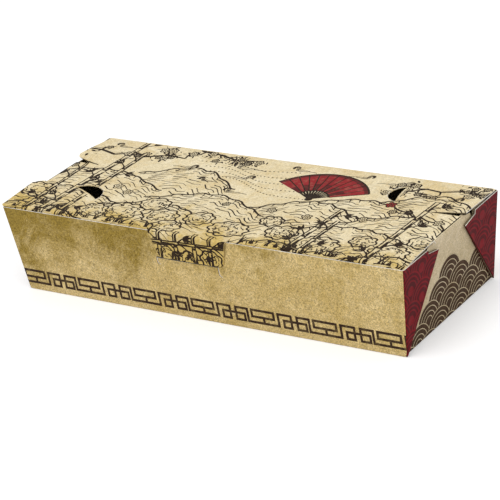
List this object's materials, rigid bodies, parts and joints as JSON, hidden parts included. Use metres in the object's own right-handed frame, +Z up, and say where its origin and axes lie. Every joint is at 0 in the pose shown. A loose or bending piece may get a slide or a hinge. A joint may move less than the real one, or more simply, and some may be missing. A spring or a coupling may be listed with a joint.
{
  "type": "sushi box",
  "caption": "Folded paperboard sushi box: long flared tray with web corners, hinged lid with tuck flaps, front tongue and half-moon chopstick holes.",
  "frame": {"origin": "centre of the base's underside, on the surface that the box stands on", "axes": "+X along the box, -Y to the front wall with the tongue, +Z up"},
  "size_m": [0.2028, 0.0792, 0.041],
  "materials": {
    "tray_board": "printed paperboard, matt, aged parchment print",
    "lid_board": "printed paperboard, matt, aged parchment print",
    "tongue_board": "printed paperboard, matt, aged parchment print"
  },
  "bodies": {
    "tray": {"tray": "tray_board"},
    "lid": {"lid": "lid_board"},
    "tongue": {"tongue": "tongue_board"}
  },
  "joints": [
    {"name": "lid_hinge", "type": "hinge", "parent": "tray", "child": "lid", "pos_m": [0, 0.03885, 0.04075], "axis": [-1, 0, 0], "range_deg": [0, 180]},
    {"name": "tongue_fold", "type": "hinge", "parent": "lid", "child": "tongue", "pos_m": [-0.002, -0.03985, 0.04075], "axis": [-1, 0, 0], "range_deg": [0, 120]}
  ]
}
